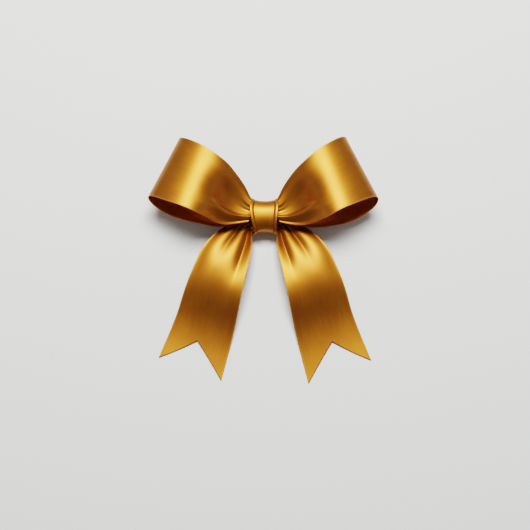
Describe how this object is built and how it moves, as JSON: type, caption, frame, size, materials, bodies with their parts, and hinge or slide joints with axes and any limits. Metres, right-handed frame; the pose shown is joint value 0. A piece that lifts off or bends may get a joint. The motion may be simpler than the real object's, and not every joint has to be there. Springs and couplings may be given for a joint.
{
  "type": "pre-made gift bow",
  "caption": "Pre-tied satin gift bow with rounded loops, swallowtail tails, a hemmed knot band and a peel-and-stick foam pad.",
  "frame": {"origin": "centre of the release liner's back face, straight behind the knot", "axes": "+Z out through the front of the knot, +Y towards the loops and away from the tails, +X to the right of a person facing the bow"},
  "size_m": [0.1255, 0.1366, 0.0283],
  "materials": {
    "gold_satin": "satin",
    "binding_thread": "satin",
    "hot_glue": "satin",
    "adhesive": "gloss",
    "foam": "matte",
    "release_paper": "matte"
  },
  "bodies": {
    "knot": {"knot_band": "gold_satin", "lap_glue": "hot_glue", "loop_ribbon_middle": "gold_satin", "tail_ribbon_middle": "gold_satin", "binding_thread": "binding_thread", "front_adhesive": "adhesive", "foam_pad": "foam", "back_adhesive": "adhesive"},
    "left_loop": {"left_loop": "gold_satin"},
    "right_loop": {"right_loop": "gold_satin"},
    "left_tail": {"left_tail": "gold_satin"},
    "right_tail": {"right_tail": "gold_satin"},
    "liner": {"release_liner": "release_paper"}
  },
  "joints": [
    {"name": "left_loop_lift", "type": "hinge", "parent": "knot", "child": "left_loop", "pos_m": [-0.0079, 0.0034, 0.00866], "axis": [0, 1, 0], "range_deg": [0, 25], "stiffness_Nm_per_rad": 0.001},
    {"name": "right_loop_lift", "type": "hinge", "parent": "knot", "child": "right_loop", "pos_m": [0.0079, 0.0034, 0.00866], "axis": [0, -1, 0], "range_deg": [0, 25], "stiffness_Nm_per_rad": 0.001},
    {"name": "left_tail_lift", "type": "hinge", "parent": "knot", "child": "left_tail", "pos_m": [-0.017, -0.0099, 0.0081], "axis": [-1, 0, 0], "range_deg": [0, 60]},
    {"name": "right_tail_lift", "type": "hinge", "parent": "knot", "child": "right_tail", "pos_m": [0.017, -0.0099, 0.0081], "axis": [-1, 0, 0], "range_deg": [0, 60]},
    {"name": "liner_peel", "type": "slide", "parent": "knot", "child": "liner", "axis": [1, 0, 0], "range_m": [0, 0.024]}
  ]
}
